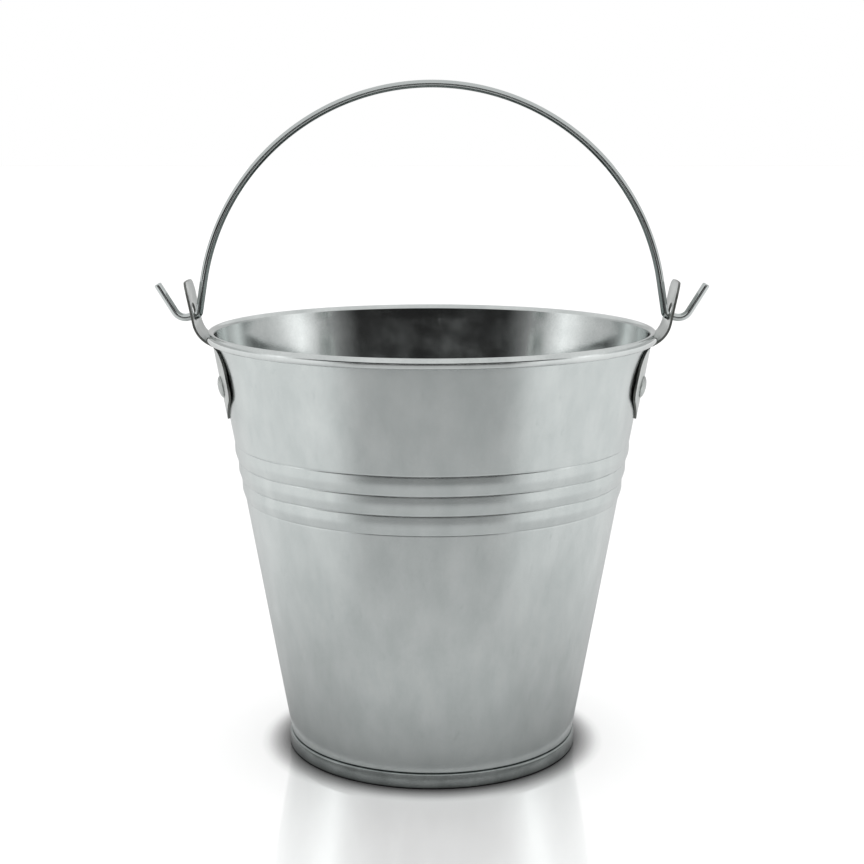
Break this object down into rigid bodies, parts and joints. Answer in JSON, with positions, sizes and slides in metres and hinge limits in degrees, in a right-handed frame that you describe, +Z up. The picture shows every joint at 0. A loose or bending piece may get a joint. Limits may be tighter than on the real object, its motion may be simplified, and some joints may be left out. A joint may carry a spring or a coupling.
{
  "type": "florist bucket",
  "caption": "Small tapered sheet-metal pail with a rolled rim, swaged beads, a seamed foot and a swinging wire bail hooked through riveted ears.",
  "frame": {"origin": "centre of the foot circle, on the surface the pail stands on", "axes": "+Z up the pail's axis, X through the two ears and along the bail's hinge, -Y is the front"},
  "size_m": [0.1604, 0.13, 0.1945],
  "materials": {
    "wall_sheet": "bright zinc-coated sheet, satin",
    "base_sheet": "bright zinc-coated sheet, satin",
    "ear_plate": "zinc-coated pressing, satin",
    "rivet_metal": "zinc-coated, satin",
    "bail_wire": "bright drawn wire, glossy"
  },
  "bodies": {
    "pail": {"wall": "wall_sheet", "base": "base_sheet", "ear_left": "ear_plate", "ear_right": "ear_plate", "rivet_left_front": "rivet_metal", "rivet_left_rear": "rivet_metal", "rivet_right_front": "rivet_metal", "rivet_right_rear": "rivet_metal"},
    "bail": {"bail": "bail_wire"}
  },
  "joints": [
    {"name": "bail_swing", "type": "hinge", "parent": "pail", "child": "bail", "pos_m": [0, 0, 0.12751], "axis": [1, 0, 0], "range_deg": [-92.9, 92.9]}
  ]
}
